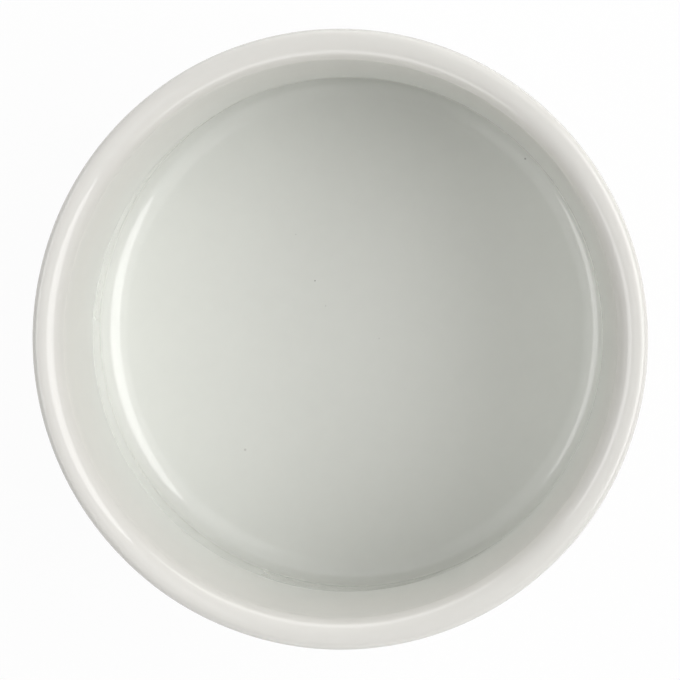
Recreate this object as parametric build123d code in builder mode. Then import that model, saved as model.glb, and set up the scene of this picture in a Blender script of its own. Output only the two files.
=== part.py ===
from build123d import *

# A ramekin: a small round porcelain baking dish with a plain outside. It is one fired body under
# glaze that is fused to it. The glaze coat runs from the inside, over the rim and down the outside,
# and stops above the foot ring, which is bare so that the dish doesn't stick to the kiln shelf.
# A second patch of glaze covers the hollow underside, inside the ring. Sizes are in millimetres,
# Z is up, and the origin is at the centre of the foot ring's resting face.

import os
from math import atan, cos, hypot, pi, sin, tan

# The whole dish, measured over the glaze
rim_diameter = 90.0
dish_height = 47.0

# The glaze, and how far above the shelf it stops
glaze_thickness = 0.3
glaze_line_height = 1.2

# The rim, measured over the glaze: rounded all over, but for a narrow land on its top
rim_width = 4.1
rim_outer_round = 1.15
rim_land = 0.1

# The inside, measured over the glaze: a flared upper wall, a lower wall that widens a little towards
# the floor, and a flat floor with a cove round its edge, which curves more tightly towards the wall
flare_width = 2.85
flare_depth = 20.5
shoulder_round = 1.2
belly_width = 0.6
floor_height = 6.0
cove_width = 2.55
cove_height = 1.75
cove_floor_round = 4.5
cove_land = 0.05

# The outside, measured over the glaze: how far its taper comes in, and its rounded heel
taper_width = 2.8
heel_height = 2.4
heel_round = 3.0

# The foot ring, measured on the bare body, and how far it stands in from the heel
foot_inset = 5.2
foot_width = 3.6
foot_taper_width = 0.5
foot_round = 0.5
notch_round = 0.6

# The hollow inside the foot ring, measured on the body
hollow_height = 2.4
hollow_taper_width = 0.9
hollow_round = 0.6

# How far a cut runs past the dish
overrun = 2.0

# Angles that the walls make with the rim's flat top, inside the porcelain
outer_wall_angle = pi / 2 - atan(taper_width / (dish_height - heel_height))
inner_wall_angle = pi / 2 + atan(flare_width / flare_depth)

# How steeply the cove and the lower wall lean, and the turn from one to the other
cove_slope = atan(cove_height / cove_width)
belly_lean = atan(belly_width / (dish_height - flare_depth - floor_height - cove_height))
cove_turn = pi / 2 + belly_lean - cove_slope

# The cove's round at the wall takes all the slope that its round at the floor and its land leave
cove_floor_reach = cove_floor_round * tan(cove_slope / 2)
cove_wall_reach = hypot(cove_width, cove_height) - cove_land - cove_floor_reach
cove_wall_round = cove_wall_reach / tan(cove_turn / 2)

# The rim's inner round takes all the width that the outer round and the land leave
rim_inner_round = (rim_width - rim_outer_round - rim_land) * tan(inner_wall_angle / 2)

# The outer wall leans, so the corner that its round replaces lies just outside the widest circle
rim_corner_width = (rim_outer_round - glaze_thickness) * (1 / tan(outer_wall_angle / 2) - 1)

# Radii and heights of the body's own surface, one glaze thickness behind the glaze
rim_outside = rim_diameter / 2 - glaze_thickness + rim_corner_width
rim_inside = rim_diameter / 2 - rim_width + glaze_thickness
rim_top = dish_height - glaze_thickness
shoulder_inside = rim_inside - flare_width
shoulder_height = dish_height - flare_depth
floor_top = floor_height - glaze_thickness
heel_outside = rim_outside - taper_width
heel_bottom = heel_height + glaze_thickness
foot_outside = heel_outside + glaze_thickness - foot_inset
foot_inside = foot_outside - foot_width

# The cove's two corners over the glaze, moved out to where the body's own lines meet
belly_inside = shoulder_inside - glaze_thickness + belly_width
cove_foot_inside = belly_inside - cove_width + glaze_thickness * tan(cove_slope / 2)
cove_head_shift = glaze_thickness / cos(cove_turn / 2)
cove_head_angle = (pi / 2 - cove_slope - belly_lean) / 2
cove_head_inside = belly_inside + cove_head_shift * cos(cove_head_angle)
cove_head_height = floor_height + cove_height - cove_head_shift * sin(cove_head_angle)

# The corners of the body's half section as radius and height
hollow_edge = (foot_inside - hollow_taper_width, hollow_height)
foot_inner_edge = (foot_inside, 0)
foot_outer_edge = (foot_outside, 0)
notch = (foot_outside + foot_taper_width, heel_bottom)
heel = (heel_outside, heel_bottom)
rim_outer_edge = (rim_outside, rim_top)
rim_inner_edge = (rim_inside, rim_top)
shoulder = (shoulder_inside, shoulder_height)
cove_head = (cove_head_inside, cove_head_height)
cove_foot = (cove_foot_inside, floor_top)

# The round of each corner on the body. Glaze makes an outward corner's round larger and an inward
# corner's smaller, so a round that is measured over the glaze is changed back by its thickness.
corner_rounds = {
    hollow_edge: hollow_round + glaze_thickness,
    foot_inner_edge: foot_round,
    foot_outer_edge: foot_round,
    notch: notch_round + glaze_thickness,
    heel: heel_round - glaze_thickness,
    rim_outer_edge: rim_outer_round - glaze_thickness,
    rim_inner_edge: rim_inner_round - glaze_thickness,
    shoulder: shoulder_round - glaze_thickness,
    cove_head: cove_wall_round + glaze_thickness,
    cove_foot: cove_floor_round + glaze_thickness,
}

# The body's half section, drawn with the radius along X and the height along Y
with BuildSketch() as body_section:
    with BuildLine():
        Polyline((0, hollow_height), *corner_rounds, (0, floor_top), close=True)
    make_face()
    for corner, corner_round in corner_rounds.items():
        fillet(body_section.vertices().sort_by_distance(corner)[0], radius=corner_round)

# The same section grown by the glaze, and cut off at the axis
with BuildSketch() as glazed_section:
    add(body_section.sketch)
    offset(amount=glaze_thickness, kind=Kind.ARC)
    with Locations((0, -overrun)):
        Rectangle(
            rim_diameter,
            dish_height + 2 * overrun,
            align=(Align.MIN, Align.MIN),
            mode=Mode.INTERSECT,
        )

# Where glaze lies: between the two sections, above the glaze line
with BuildSketch() as glaze_section:
    add(glazed_section.sketch)
    add(body_section.sketch, mode=Mode.SUBTRACT)
    with Locations((0, glaze_line_height)):
        Rectangle(
            rim_diameter,
            glaze_line_height + overrun,
            align=(Align.MIN, Align.MAX),
            mode=Mode.SUBTRACT,
        )

# The bare foot ring parts the glaze into two stretches, the lower one under the base
glaze_stretches = glaze_section.faces().sort_by(Axis.Y)

# The fired body: rim, wall, floor and foot ring in one piece of porcelain
with BuildPart() as porcelain_body:
    with BuildSketch(Plane.XZ):
        add(body_section.sketch)
    revolve(axis=Axis.Z)
porcelain_body.part.label = "porcelain_body"

# The coat of glaze on the inside, the rim and the outside
with BuildPart() as glaze_coat:
    with BuildSketch(Plane.XZ):
        add(glaze_stretches[-1])
    revolve(axis=Axis.Z)
glaze_coat.part.label = "glaze_coat"

# The patch of glaze on the underside, inside the foot ring
with BuildPart() as base_glaze:
    with BuildSketch(Plane.XZ):
        add(glaze_stretches[0])
    revolve(axis=Axis.Z)
base_glaze.part.label = "base_glaze"

os.makedirs("parts", exist_ok=True)
export_step(porcelain_body.part, "parts/porcelain_body.step")
export_step(glaze_coat.part, "parts/glaze_coat.step")
export_step(base_glaze.part, "parts/base_glaze.step")
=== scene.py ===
# %% [markdown]
# # A glazed porcelain ramekin
#
# This lesson dresses a small round baking dish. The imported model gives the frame: three solids at
# their real size, in metres, with the foot ring standing on Z = 0. Every new piece is built in the
# same place, so nothing is fitted afterwards. The dish is plain, so all of its likeness is in three
# things: the line of its half section, the way that glass lies over white clay, and soft light.

# %% Load the frame
from math import atan, cos, hypot, pi, radians, sin, tan

import bmesh
import bpy
from mathutils import Matrix, Vector, noise


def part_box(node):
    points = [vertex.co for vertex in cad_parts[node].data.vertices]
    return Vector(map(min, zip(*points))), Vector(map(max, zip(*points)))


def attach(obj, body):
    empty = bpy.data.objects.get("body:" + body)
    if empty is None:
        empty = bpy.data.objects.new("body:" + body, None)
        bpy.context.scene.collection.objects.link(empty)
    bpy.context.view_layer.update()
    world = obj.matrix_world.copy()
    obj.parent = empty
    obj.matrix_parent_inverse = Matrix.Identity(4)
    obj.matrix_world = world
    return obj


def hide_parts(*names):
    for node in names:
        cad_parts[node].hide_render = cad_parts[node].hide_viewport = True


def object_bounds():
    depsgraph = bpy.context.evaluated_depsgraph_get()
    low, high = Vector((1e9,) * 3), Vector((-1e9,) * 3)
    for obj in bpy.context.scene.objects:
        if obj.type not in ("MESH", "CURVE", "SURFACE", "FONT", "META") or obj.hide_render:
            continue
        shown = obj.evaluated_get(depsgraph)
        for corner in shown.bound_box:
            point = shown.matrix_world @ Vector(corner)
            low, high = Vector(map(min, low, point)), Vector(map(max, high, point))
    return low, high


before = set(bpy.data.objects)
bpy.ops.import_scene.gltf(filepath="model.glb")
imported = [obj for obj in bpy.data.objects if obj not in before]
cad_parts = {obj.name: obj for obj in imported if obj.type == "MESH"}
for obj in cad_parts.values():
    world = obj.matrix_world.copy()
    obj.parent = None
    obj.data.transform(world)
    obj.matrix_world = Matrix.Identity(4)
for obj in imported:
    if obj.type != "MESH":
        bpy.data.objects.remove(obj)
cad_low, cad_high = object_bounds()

print("frame nodes:", sorted(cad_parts))

# %% [markdown]
# ## The camera
#
# The dish is seen from almost straight above, about 0.9 m over its rim, from a little to the right
# and a little towards the top of the picture. Looking slightly past one side is what makes the
# rings inside the dish seem to slide against the rim. The camera is aimed at the middle of the
# rim, and its lens follows from how many pixels a metre takes up there. The lens is shifted by one
# pixel, because the photograph isn't quite centred. A rotation built from three axes is safer here
# than angles, because a camera that looks straight down can roll unnoticed.

# %% Place the camera
mm = 0.001
rim_centre = Vector((0, 0, cad_high.z))
camera_offset = Vector((52 * mm, 34 * mm, 900 * mm))
picture_width = 680
picture_shift = 1
pixels_per_metre = 6.92 / mm
sensor_width = 36
nearest_seen = 10 * mm

camera_data = bpy.data.cameras.new("camera")
camera = bpy.data.objects.new("camera", camera_data)
bpy.context.scene.collection.objects.link(camera)
bpy.context.scene.camera = camera
camera.location = rim_centre + camera_offset
backward = camera_offset.normalized()
upward = (Vector((0, 1, 0)) - backward * backward.y).normalized()
axes = Matrix((upward.cross(backward), upward, backward)).transposed()
camera.rotation_mode = "QUATERNION"
camera.rotation_quaternion = axes.to_quaternion()
camera_data.sensor_width = sensor_width
camera_data.lens = pixels_per_metre * camera_offset.length * sensor_width / picture_width
camera_data.shift_x = picture_shift / picture_width
camera_data.clip_start = nearest_seen
print("camera lens in mm:", round(camera_data.lens, 1))

# %% [markdown]
# ## The sizes of the dish
#
# A moulded dish is the same all the way round, so one half section describes all of it. These are
# the sizes that the section needs and the frame can't tell. They are measured over the glaze, apart
# from the foot ring, which is bare. The rim's outside and the top come from the frame.
#
# Inside, the wall flares above a slight shoulder. The belly under it leans out a little towards the
# floor, and a cove leads over to the floor. The cove bends gently at the floor and tightly at the
# belly. The angles, and the two rounds that have to fill what the others leave, are worked out.

# %% Sizes
glaze_thickness = 0.3 * mm
glaze_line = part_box("glaze_coat")[0].z
rim_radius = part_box("glaze_coat")[1].x
rim_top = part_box("glaze_coat")[1].z

rim_width = 4.1 * mm
rim_outer_round = 1.15 * mm
rim_land = 0.1 * mm
flare_width = 2.85 * mm
flare_depth = 20.5 * mm
shoulder_round = 1.2 * mm
belly_width = 0.6 * mm
floor_height = 6.0 * mm
cove_width = 2.55 * mm
cove_height = 1.75 * mm
cove_floor_round = 4.5 * mm
cove_land = 0.05 * mm
taper_width = 2.8 * mm
heel_height = 2.4 * mm
heel_round = 3.0 * mm
foot_inset = 5.2 * mm
foot_width = 3.6 * mm
foot_taper = 0.5 * mm
foot_round = 0.5 * mm
notch_round = 0.6 * mm
hollow_height = 2.4 * mm
hollow_taper = 0.9 * mm

outer_wall_angle = pi / 2 - atan(taper_width / (rim_top - heel_height))
inner_wall_angle = pi / 2 + atan(flare_width / flare_depth)
cove_slope = atan(cove_height / cove_width)
belly_lean = atan(belly_width / (rim_top - flare_depth - floor_height - cove_height))
cove_turn = pi / 2 + belly_lean - cove_slope
cove_floor_reach = cove_floor_round * tan(cove_slope / 2)
cove_wall_reach = hypot(cove_width, cove_height) - cove_land - cove_floor_reach
cove_wall_round = cove_wall_reach / tan(cove_turn / 2)
rim_inner_round = (rim_width - rim_outer_round - rim_land) * tan(inner_wall_angle / 2)
print("round on the inside of the rim in mm:", round(rim_inner_round / mm, 2))
print("tighter round of the cove in mm:", round(cove_wall_round / mm, 2))

# %% [markdown]
# ## The outline of the dish
#
# The glaze and the body under it have the same outline, one glaze thickness apart. So one function
# gives both: it lists the corners that the outline would have if nothing were rounded, each as
# radius, height and round, for a surface that lies so far under the glaze. A round on an outward
# corner shrinks with depth, and one in an inward corner grows.

# %% List the corners of a surface at some depth under the glaze
def inside_corners(depth):
    """From the middle of the floor up to the inside of the rim."""
    mouth = rim_radius - rim_width + depth
    belly = mouth - flare_width - depth + belly_width
    cove_shift = depth / cos(cove_turn / 2)
    cove_aim = (pi / 2 - cove_slope - belly_lean) / 2
    cove_head = belly + cove_shift * cos(cove_aim)
    cove_head_height = floor_height + cove_height - cove_shift * sin(cove_aim)
    cove_foot = belly - cove_width + depth * tan(cove_slope / 2)
    return [
        (0, floor_height - depth, 0),
        (cove_foot, floor_height - depth, cove_floor_round + depth),
        (cove_head, cove_head_height, cove_wall_round + depth),
        (mouth - flare_width, rim_top - flare_depth, shoulder_round - depth),
        (mouth, rim_top - depth, rim_inner_round - depth),
    ]


def outside_corners(depth):
    """From the outside of the rim down to the notch over the foot ring."""
    rim_round = rim_outer_round - depth
    corner = rim_radius - depth + rim_round * (1 / tan(outer_wall_angle / 2) - 1)
    heel = corner - taper_width
    return [
        (corner, rim_top - depth, rim_round),
        (heel, heel_height + depth, heel_round - depth),
        (foot_side(heel_height + glaze_thickness) + glaze_thickness - depth, heel_height + depth,
         notch_round + depth),
    ]


def foot_side(height):
    """Radius of the bare foot ring's outer side at a height."""
    rim_corner = (rim_outer_round - glaze_thickness) * (1 / tan(outer_wall_angle / 2) - 1)
    low = rim_radius + rim_corner - taper_width - foot_inset
    return low + foot_taper * height / (heel_height + glaze_thickness)


def hollow_side(height):
    """Radius of the hollow's side, which is the foot ring's inner side, at a height."""
    return foot_side(0) - foot_width - hollow_taper * height / hollow_height


print("foot ring in mm:", round(hollow_side(0) / mm, 2), "to", round(foot_side(0) / mm, 2))

# %% [markdown]
# ## From corners to a turned shape
#
# A potter's profile tool does this in one pass: it holds the section still while the clay turns.
# Here the section starts as one flat face with sharp corners. A vertex bevel rounds each corner,
# and its reach along the edges follows from the round and the angle. Then the face goes, and the
# edge along the axis with it. Long edges are divided, so that the surface can carry small waves
# later. A spin gets slower the more it has made, so the section turns through one sector only, and
# a second spin copies that sector round the axis. Merging closes the seams and the poles.

# %% Helpers that draw, round and turn a section
longest_edge = 1.5 * mm
round_step = radians(5)
fewest_round_steps = 2
circle_profile = 0.5
sectors = 8
steps_in_sector = 30
merge_distance = 0.001 * mm


def draw_section(corners):
    """A bmesh with the section's outline as edges in the XZ plane, its corners rounded."""
    bm = bmesh.new()
    points = [bm.verts.new((r, 0, z)) for r, z, _ in corners]
    bm.faces.new(points)
    for point, (_, _, corner_round) in zip(points, corners):
        if corner_round <= 0:
            continue
        one, other = [edge.other_vert(point).co - point.co for edge in point.link_edges]
        opening = one.angle(other)
        bmesh.ops.bevel(
            bm,
            geom=[point],
            offset=corner_round / tan(opening / 2),
            offset_type="OFFSET",
            segments=max(fewest_round_steps, round((pi - opening) / round_step)),
            profile=circle_profile,
            affect="VERTICES",
        )
    bmesh.ops.delete(bm, geom=bm.faces[:], context="FACES_ONLY")
    on_axis = [edge for edge in bm.edges if max(v.co.x for v in edge.verts) < merge_distance]
    bmesh.ops.delete(bm, geom=on_axis, context="EDGES")
    for edge in bm.edges[:]:
        cuts = int(edge.calc_length() / longest_edge)
        if cuts:
            bmesh.ops.subdivide_edges(bm, edges=[edge], cuts=cuts)
    return bm


def turn(bm):
    """Spins the section into a closed shape."""
    sector_angle = 2 * pi / sectors
    bmesh.ops.spin(
        bm,
        geom=bm.verts[:] + bm.edges[:],
        cent=(0, 0, 0),
        axis=(0, 0, 1),
        steps=steps_in_sector,
        angle=sector_angle,
    )
    bmesh.ops.spin(
        bm,
        geom=bm.verts[:] + bm.edges[:] + bm.faces[:],
        cent=(0, 0, 0),
        axis=(0, 0, 1),
        steps=sectors - 1,
        angle=2 * pi - sector_angle,
        use_duplicate=True,
    )
    bmesh.ops.remove_doubles(bm, verts=bm.verts, dist=merge_distance)
    bmesh.ops.recalc_face_normals(bm, faces=bm.faces)


# %% [markdown]
# ## What the kiln did
#
# No fired dish is quite true. Clay softens in the kiln and settles into a slight oval, here under
# one part in a hundred, and the glaze runs while it is glass. The surface stays smooth, but long
# reflections in it have slightly unsteady edges. A scale makes the oval. It also makes the dish
# narrower by a spare share, so that the waves stay within its real width. The waves are a smooth
# field of movement. It depends only on a point's place, so body and glaze move together and stay in
# contact. It fades to nothing at the foot, because the ring sinks flat onto the shelf. Blender
# shifts this noise by the clock unless it is given a seed, so a fixed seed makes the same dish in
# every run.

# %% A helper that fires a piece
oval_share = 0.0075
spare_share = 0.0007
waves = ((14 * mm, 0.03 * mm), (5 * mm, 0.001 * mm))
wave_seed = 4
cm = 10 * mm

noise.seed_set(wave_seed)


def fire(bm):
    """Moves every vertex as the heat did."""
    bmesh.ops.scale(bm, vec=(1 - oval_share - spare_share, 1 - spare_share, 1), verts=bm.verts)
    for vert in bm.verts:
        place = vert.co.copy()
        for length, height in waves:
            vert.co += noise.noise_vector(place / length) * height * (place.z / rim_top)


def finish_piece(bm, name, node):
    """Makes the bmesh an object that stands for a node of the frame."""
    for face in bm.faces:
        face.smooth = True
    open_edges = sum(1 for edge in bm.edges if not edge.is_manifold)
    volume = bm.calc_volume(signed=True)
    print(name, "faces:", len(bm.faces), "open edges:", open_edges, "cm3:", round(volume / cm**3, 2))
    mesh = bpy.data.meshes.new(name)
    bm.to_mesh(mesh)
    bm.free()
    piece = bpy.data.objects.new(name, mesh)
    bpy.context.scene.collection.objects.link(piece)
    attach(piece, "root")
    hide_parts(node)
    return piece


# %% [markdown]
# ## The fired body
#
# The porcelain itself is one turned solid. Nearly all of it is under glaze, and only the foot ring
# shows. The ring's resting face is flat, and its edges are rounded by a wet sponge before firing.

# %% Turn the fired body
body_corners = inside_corners(glaze_thickness) + outside_corners(glaze_thickness)
body_corners += [
    (foot_side(0), 0, foot_round),
    (hollow_side(0), 0, foot_round),
    (hollow_side(hollow_height), hollow_height, notch_round + glaze_thickness),
    (0, hollow_height, 0),
]
body_bm = draw_section(body_corners)
turn(body_bm)
fire(body_bm)
fired_body = finish_piece(body_bm, "fired_body", "porcelain_body")

# %% [markdown]
# ## The glaze coat
#
# The coat is a closed skin: its outer face follows the outline at depth zero, its inner face lies
# on the body. It ends on the foot ring's side in a soft rolled edge, where the dipped dish was
# wiped clean before firing.

# %% Turn the glaze coat
glaze_edge_round = 0.22 * mm
edge_low = foot_side(glaze_line)

coat_corners = inside_corners(0) + outside_corners(0)
coat_corners += [
    (edge_low + glaze_thickness, glaze_line, glaze_edge_round),
    (edge_low, glaze_line, 0),
]
coat_corners += outside_corners(glaze_thickness)[::-1]
coat_corners += inside_corners(glaze_thickness)[::-1]
coat_bm = draw_section(coat_corners)
turn(coat_bm)
fire(coat_bm)
glaze_skin = finish_piece(coat_bm, "glaze_skin", "glaze_coat")

# %% [markdown]
# ## The glaze on the underside
#
# The hollow inside the foot ring holds glaze too. It is a shallow dish of glass with the same
# rolled edge, cut off from the coat by the bare ring.

# %% Turn the underside's glaze
base_low = hollow_side(glaze_line)
base_corners = [
    (0, hollow_height - glaze_thickness, 0),
    (hollow_side(hollow_height) - glaze_thickness, hollow_height - glaze_thickness, notch_round),
    (base_low - glaze_thickness, glaze_line, glaze_edge_round),
    (base_low, glaze_line, 0),
    (hollow_side(hollow_height), hollow_height, notch_round + glaze_thickness),
    (0, hollow_height, 0),
]
base_bm = draw_section(base_corners)
turn(base_bm)
fire(base_bm)
underside_glaze = finish_piece(
    base_bm, "underside_glaze", "base_glaze"
)

# %% [markdown]
# ## Small helpers for materials
#
# A procedural material is a little network of nodes. The helpers below keep each material short:
# one starts a material, one adds a node and sets it up, one links a value or another node's output
# to an input, and one gives smooth noise of a real size in the dish's own coordinates. The last
# three map one range of numbers to another, do a step of arithmetic and blend two colours.

# %% Helpers for node networks
def start_material(name):
    """A new material: returns it, its node tree and its main shader."""
    material = bpy.data.materials.new(name)
    material.use_nodes = True
    tree = material.node_tree
    return material, tree, tree.nodes["Principled BSDF"]


def add_node(tree, kind, settings=(), **inputs):
    """Adds a node, sets its options, and feeds its inputs with values or with other outputs."""
    node = tree.nodes.new("ShaderNode" + kind)
    for setting, value in dict(settings).items():
        setattr(node, setting, value)
    for name, value in inputs.items():
        feed(tree, value, node.inputs[name.replace("_", " ")])
    return node


def feed(tree, value, socket):
    """Sets an input to a value, or links it when the value is another node's output."""
    if isinstance(value, bpy.types.NodeSocket):
        tree.links.new(value, socket)
    else:
        socket.default_value = value


def smooth_noise(tree, place, feature_size, detail=2.0):
    """Noise between 0 and 1 whose features are about so large."""
    return add_node(tree, "TexNoise", Vector=place, Scale=1 / feature_size, Detail=detail).outputs["Fac"]


def spread(tree, value, low_in, high_in, low_out, high_out, smooth=False):
    """Maps one range of numbers to another and keeps the result inside it."""
    node = add_node(
        tree, "MapRange", {"interpolation_type": "SMOOTHSTEP" if smooth else "LINEAR"}, Value=value
    )
    limits = {"From Min": low_in, "From Max": high_in, "To Min": low_out, "To Max": high_out}
    for name, number in limits.items():
        node.inputs[name].default_value = number
    return node.outputs["Result"]


def calculate(tree, operation, first, second=0.0):
    """One step of arithmetic."""
    node = add_node(tree, "Math", {"operation": operation})
    feed(tree, first, node.inputs[0])
    feed(tree, second, node.inputs[1])
    return node.outputs[0]


def blend_colours(tree, share, first, second):
    """A mix of two colours: share 0 is the first one, share 1 the second."""
    node = add_node(tree, "Mix", {"data_type": "RGBA"})
    feed(tree, share, node.inputs["Factor"])
    for name, colour in (("A", first), ("B", second)):
        socket = [s for s in node.inputs if s.name == name and s.type == "RGBA"][0]
        feed(tree, colour if isinstance(colour, bpy.types.NodeSocket) else (*colour, 1), socket)
    return [s for s in node.outputs if s.type == "RGBA"][0]


# %% [markdown]
# ## The glazed porcelain
#
# White clay under clear glass looks like one glossy white material, so one shader does for both:
# its base colour is the clay seen through the glaze, and its gloss is the glass. Glaze is faintly
# green where it pools, on the floor and the lower wall, and so thin on the rim and the flare that
# the warmer clay comes through. Broad clouds of noise make the line between the two uneven, and a
# finer noise darkens the colour here and there by a trace. The tint is faint, because light that
# bounces about inside the dish takes it up each time. That is where the greenish shadows come from.

# %% Glaze colour
pooled_glaze = (0.796, 0.806, 0.768)
thin_glaze = (0.788, 0.774, 0.733)
shoulder_level = rim_top - flare_depth
thinning_drop = 4 * mm
cloud_size = 12 * mm
cloud_reach = 9 * mm
mottle_size = 2.2 * mm
mottle_strength = 0.03
black = (0, 0, 0)

glazed_porcelain, tree, surface = start_material("glazed_porcelain")
place = add_node(tree, "TexCoord").outputs["Object"]
height = add_node(tree, "SeparateXYZ", Vector=place).outputs["Z"]
clouds = smooth_noise(tree, place, cloud_size)
shifted = calculate(tree, "ADD", height, spread(tree, clouds, 0, 1, -cloud_reach, cloud_reach))
thinning_starts = shoulder_level - thinning_drop
thinning_ends = rim_top - thinning_drop
thinness = spread(tree, shifted, thinning_starts, thinning_ends, 0, 1, smooth=True)
tint = blend_colours(tree, thinness, pooled_glaze, thin_glaze)
mottle = smooth_noise(tree, place, mottle_size, detail=4.0)
tint = blend_colours(tree, calculate(tree, "MULTIPLY", mottle, mottle_strength), tint, black)
print("glaze colours:", pooled_glaze, thin_glaze)

# %% [markdown]
# ## Specks in the glaze
#
# A few grains of iron in the clay burn through as pin-points. Grains that lie deeper under the glaze
# look paler, so each has a place, a size and a darkness. They are listed one by one, because a random
# pattern would put too many of them side by side. The distance from each grain gives a small round
# spot with a soft edge, which works on any side of the dish. Each row of the list gives the place
# and the radius in millimetres, and the darkness from 0 to 1.

# %% Specks
speck_brown = (0.10, 0.085, 0.07)
speck_core, speck_edge = 0.5, 1.5
specks = (
    (-6.0, 7.4, 6.0, 0.10, 0.6),
    (-8.9, 14.4, 6.0, 0.09, 0.2),
    (-4.4, 3.6, 6.0, 0.10, 0.2),
    (-16.6, -18.2, 6.0, 0.18, 0.25),
    (3.7, -1.3, 6.0, 0.09, 0.22),
    (25.8, 25.9, 6.3, 0.20, 1.0),
    (-38.2, 14.6, 44.4, 0.12, 0.6),
    (30.6, -31.4, 27.0, 0.10, 0.3),
    (-40.4, -16.5, 17.5, 0.12, 0.6),
    (11.0, 21.5, 2.1, 0.11, 0.7),
)
speck_mask = 0.0
for x, y, z, radius, darkness in specks:
    distance = add_node(tree, "VectorMath", {"operation": "DISTANCE"})
    feed(tree, place, distance.inputs[0])
    distance.inputs[1].default_value = (x * mm, y * mm, z * mm)
    core, edge = speck_core * radius * mm, speck_edge * radius * mm
    spot = spread(tree, distance.outputs["Value"], core, edge, darkness, 0, smooth=True)
    speck_mask = calculate(tree, "MAXIMUM", spot, speck_mask)
glaze_colour = blend_colours(tree, speck_mask, tint, speck_brown)
feed(tree, glaze_colour, surface.inputs["Base Color"])
print("specks:", len(specks))

# %% [markdown]
# ## Gloss
#
# The glass is as smooth as a window, but not everywhere alike: use leaves a faint haze. Roughness
# follows soft noise between two low values. Two scales of bump are finer than the mesh can carry: a
# slight orange peel, and a few pinholes, where a bubble broke the surface just before the glaze
# set. A Voronoi pattern has one point in each cell, and the cell's own random number decides
# whether there is a hole at it. The refractive index is a single number, so it is set on the shader
# itself.

# %% Glaze gloss and bump
glaze_index = 1.5
clearest, haziest = 0.01, 0.04
haze_size = 18 * mm
haze_starts, haze_is_full = 0.3, 0.7
peel_size = 1.6 * mm
peel_height = 0.0006 * mm
pinhole_spacing = 7 * mm
pinhole_radius = 0.12 * mm
pinhole_depth = 0.005 * mm
share_without_hole = 0.6

surface.inputs["IOR"].default_value = glaze_index
haze = smooth_noise(tree, place, haze_size, detail=5.0)
roughness = spread(tree, haze, haze_starts, haze_is_full, clearest, haziest)
feed(tree, roughness, surface.inputs["Roughness"])

peel = smooth_noise(tree, place, peel_size, detail=1.0)
peel_bump = add_node(tree, "Bump", Height=peel, Distance=peel_height)
cells = add_node(tree, "TexVoronoi", Vector=place, Scale=1 / pinhole_spacing)
cell_number = add_node(tree, "SeparateColor", Color=cells.outputs["Color"]).outputs[0]
hole_edge = pinhole_radius / pinhole_spacing
in_hole = spread(tree, cells.outputs["Distance"], 0, hole_edge, 1, 0, smooth=True)
has_hole = calculate(tree, "GREATER_THAN", cell_number, share_without_hole)
hole = calculate(tree, "MULTIPLY", calculate(tree, "MULTIPLY", in_hole, has_hole), -1)
hole_bump = add_node(
    tree, "Bump", Height=hole, Distance=pinhole_depth, Normal=peel_bump.outputs["Normal"]
)
feed(tree, hole_bump.outputs["Normal"], surface.inputs["Normal"])

# %% [markdown]
# ## Light that is caught in the cove
#
# In the cove, light that skims the wall is passed on by one mirror-like bounce after another, until
# it comes out again. A renderer gives up after a few such bounces, and leaves a dark line where the
# wall meets the cove. So a ray that has already been mirrored twice sees plain matt porcelain of
# the same colour instead, which hands the light back at once. The limit lies between one and two,
# because the depth counts whole mirrorings.

# %% Matt shading for deep reflections
mirroring_limit = 1.5
mirrored_before = add_node(tree, "LightPath").outputs["Glossy Depth"]
deep = calculate(tree, "GREATER_THAN", mirrored_before, mirroring_limit)
matt = add_node(tree, "BsdfDiffuse", Color=glaze_colour)
gloss_mix = add_node(tree, "MixShader", Fac=deep)
feed(tree, surface.outputs[0], gloss_mix.inputs[1])
feed(tree, matt.outputs[0], gloss_mix.inputs[2])
feed(tree, gloss_mix.outputs[0], tree.nodes["Material Output"].inputs["Surface"])
for piece in (glaze_skin, underside_glaze):
    piece.data.materials.append(glazed_porcelain)
print("glazed:", glaze_skin.name, underside_glaze.name)

# %% [markdown]
# ## The bare porcelain
#
# Where the glaze was wiped off, the clay is matt and a little creamier. Its detail comes at several
# scales: pale stains, grey rub marks on the resting face from kiln shelf, oven rack and worktop,
# the rings that the turning tool left, and fine grain. The rings are waves of the distance from the
# axis, which wobbles a little. Rubbing also makes the clay smoother.

# %% Biscuit colour, grain and turning rings
biscuit_cream = (0.74, 0.70, 0.63)
biscuit_pale = (0.80, 0.775, 0.725)
rubbed_grey = (0.44, 0.43, 0.41)
stain_size = 3 * mm
stains_start, stains_are_full = 0.35, 0.65
scuff_size = 0.8 * mm
scuffs_start, scuffs_are_full = 0.5, 0.62
scuff_strength = 0.75
rub_reach = 0.25 * mm
matt_roughness, rubbed_roughness = 0.72, 0.5
ring_spacing = 0.35 * mm
ring_height = 0.008 * mm
wobble_size = 4 * mm
wobble_reach = 1.5 * ring_spacing
grain_size = 0.22 * mm
grain_height = 0.02 * mm

bare_porcelain, tree, surface = start_material("bare_porcelain")
place = add_node(tree, "TexCoord").outputs["Object"]
parts = add_node(tree, "SeparateXYZ", Vector=place)
flat_place = add_node(tree, "CombineXYZ", X=parts.outputs["X"], Y=parts.outputs["Y"])
from_axis = add_node(tree, "VectorMath", {"operation": "LENGTH"}, Vector=flat_place.outputs[0])
stains = smooth_noise(tree, place, stain_size, detail=4.0)
paleness = spread(tree, stains, stains_start, stains_are_full, 0, 1)
clay = blend_colours(tree, paleness, biscuit_cream, biscuit_pale)
scuff_noise = smooth_noise(tree, place, scuff_size, detail=6.0)
scuffs = spread(tree, scuff_noise, scuffs_start, scuffs_are_full, 0, scuff_strength)
resting = spread(tree, parts.outputs["Z"], 0, rub_reach, 1, 0, smooth=True)
rubbed = calculate(tree, "MULTIPLY", scuffs, resting)
feed(tree, blend_colours(tree, rubbed, clay, rubbed_grey), surface.inputs["Base Color"])
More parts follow.
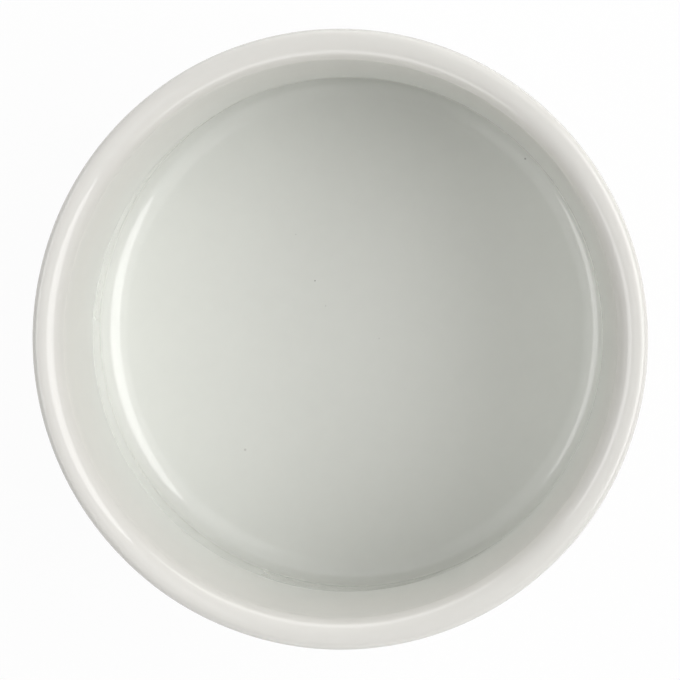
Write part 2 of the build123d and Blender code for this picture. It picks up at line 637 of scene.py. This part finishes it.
roughness = spread(tree, rubbed, 0, 1, matt_roughness, rubbed_roughness)
feed(tree, roughness, surface.inputs["Roughness"])

wobble = calculate(tree, "MULTIPLY", smooth_noise(tree, place, wobble_size), wobble_reach)
wobbly_radius = calculate(tree, "ADD", from_axis.outputs["Value"], wobble)
phase = calculate(tree, "MULTIPLY", wobbly_radius, 2 * pi / ring_spacing)
rings = calculate(tree, "SINE", phase)
ring_bump = add_node(tree, "Bump", Height=rings, Distance=ring_height)
grain = smooth_noise(tree, place, grain_size, detail=3.0)
grain_bump = add_node(
    tree, "Bump", Height=grain, Distance=grain_height, Normal=ring_bump.outputs["Normal"]
)
feed(tree, grain_bump.outputs["Normal"], surface.inputs["Normal"])
fired_body.data.materials.append(bare_porcelain)
print("bare porcelain shows below", round(glaze_line / mm, 2), "mm")

# %% [markdown]
# ## The floor
#
# The dish stands on a large sheet of white paper. A camera ray, or one reflected in the glaze, sees
# mostly plain white, so the background is white without any more light on the dish. The rest of
# the share is the real paper, which keeps the dish's soft shadow. The paper lies a hair lower than
# the foot ring's flat face. Two faces in just the same plane would show through each other in spots.

# %% Floor
floor_size = 3.0
floor_drop = 0.02 * mm
paper_grey = 0.90
paper_roughness = 0.8
white_share = 0.95


def direct_view(tree):
    """1 for rays that come from the camera or from a reflection, 0 for light on its way."""
    path = add_node(tree, "LightPath")
    mirrored = calculate(
        tree, "MAXIMUM", path.outputs["Is Glossy Ray"], path.outputs["Is Transmission Ray"]
    )
    return calculate(tree, "MAXIMUM", path.outputs["Is Camera Ray"], mirrored)


floor_bm = bmesh.new()
bmesh.ops.create_grid(floor_bm, x_segments=1, y_segments=1, size=floor_size / 2)
floor_mesh = bpy.data.meshes.new("floor")
floor_bm.to_mesh(floor_mesh)
floor_bm.free()
floor = bpy.data.objects.new("floor", floor_mesh)
floor.location.z = -floor_drop
bpy.context.scene.collection.objects.link(floor)

white_paper, tree, surface = start_material("white_paper")
surface.inputs["Base Color"].default_value = (paper_grey, paper_grey, paper_grey, 1)
surface.inputs["Roughness"].default_value = paper_roughness
plain_white = add_node(tree, "Emission", Strength=1.0)
paper_mix = add_node(tree, "MixShader")
feed(tree, calculate(tree, "MULTIPLY", direct_view(tree), white_share), paper_mix.inputs["Fac"])
feed(tree, surface.outputs[0], paper_mix.inputs[1])
feed(tree, plain_white.outputs[0], paper_mix.inputs[2])
feed(tree, paper_mix.outputs[0], tree.nodes["Material Output"].inputs["Surface"])
floor_mesh.materials.append(white_paper)
print("floor in metres:", round(floor.dimensions.x, 2))

# %% [markdown]
# ## The lamps
#
# Two oval softboxes light the dish from halfway up the sky, as in a product studio: a broad one on
# the right and a lower one on the left. Their reflections give them away. The broad one is the long
# crescent on the left of the cove, and the band on the rim over it. The lower one is the thinner
# crescent on the right. Both crescents taper to points, as an oval's reflection does. A large dull
# lamp over each of the two widens its light upwards, and one more stands behind the dish. Two long
# low cards skim the rim and brighten the top of the wall alone. A lamp's brightness is its power
# over its area, so a larger softbox of the same power is a duller one. Azimuths and elevations are
# in degrees, widths and heights in metres, and powers in watts.

# %% Lamps
lamp_distance = 1.0


def softbox(name, azimuth, elevation, width, height, power):
    """An oval lamp that looks at the rim from a direction."""
    lamp = bpy.data.lights.new(name, "AREA")
    lamp.shape = "ELLIPSE"
    lamp.size = width
    lamp.size_y = height
    lamp.energy = power
    holder = bpy.data.objects.new(name, lamp)
    bpy.context.scene.collection.objects.link(holder)
    a, e = radians(azimuth), radians(elevation)
    out = Vector((cos(a) * cos(e), sin(a) * cos(e), sin(e)))
    holder.location = rim_centre + out * lamp_distance
    holder.rotation_mode = "QUATERNION"
    holder.rotation_quaternion = (-out).to_track_quat("-Z", "Y")
    area = pi * width * height / 4
    print(name, "brightness:", round(power / (pi * area), 2))


softbox("key_softbox", azimuth=3.5, elevation=44, width=1.2, height=0.74, power=7.2)
softbox("key_glow", azimuth=3.5, elevation=63, width=1.3, height=1.0, power=2.5)
softbox("side_softbox", azimuth=179, elevation=38, width=1.05, height=0.38, power=2.7)
softbox("side_glow", azimuth=179, elevation=60, width=1.3, height=0.7, power=1.1)
softbox("back_softbox", azimuth=90, elevation=30, width=1.4, height=0.4, power=0.6)
softbox("back_card", azimuth=90, elevation=11, width=1.8, height=0.35, power=3.4)
softbox("front_card", azimuth=270, elevation=11, width=1.8, height=0.35, power=3.0)

# %% [markdown]
# ## The air
#
# The world adds next to no light, because lamps and floor do it all. To the camera, and in
# reflections, it is plain white.

# %% World
fill_strength = 0.005
white = (1, 1, 1, 1)
world = bpy.data.worlds.new("white_surroundings")
bpy.context.scene.world = world
world.use_nodes = True
tree = world.node_tree
tree.nodes.clear()
fill = add_node(tree, "Background", Strength=fill_strength)
seen = add_node(tree, "Background", Strength=1.0)
for background in (fill, seen):
    background.inputs["Color"].default_value = white
air_mix = add_node(tree, "MixShader")
feed(tree, direct_view(tree), air_mix.inputs["Fac"])
feed(tree, fill.outputs[0], air_mix.inputs[1])
feed(tree, seen.outputs[0], air_mix.inputs[2])
air = add_node(tree, "OutputWorld")
feed(tree, air_mix.outputs[0], air.inputs["Surface"])
bpy.context.scene.view_settings.view_transform = "Standard"
print("world:", world.name)
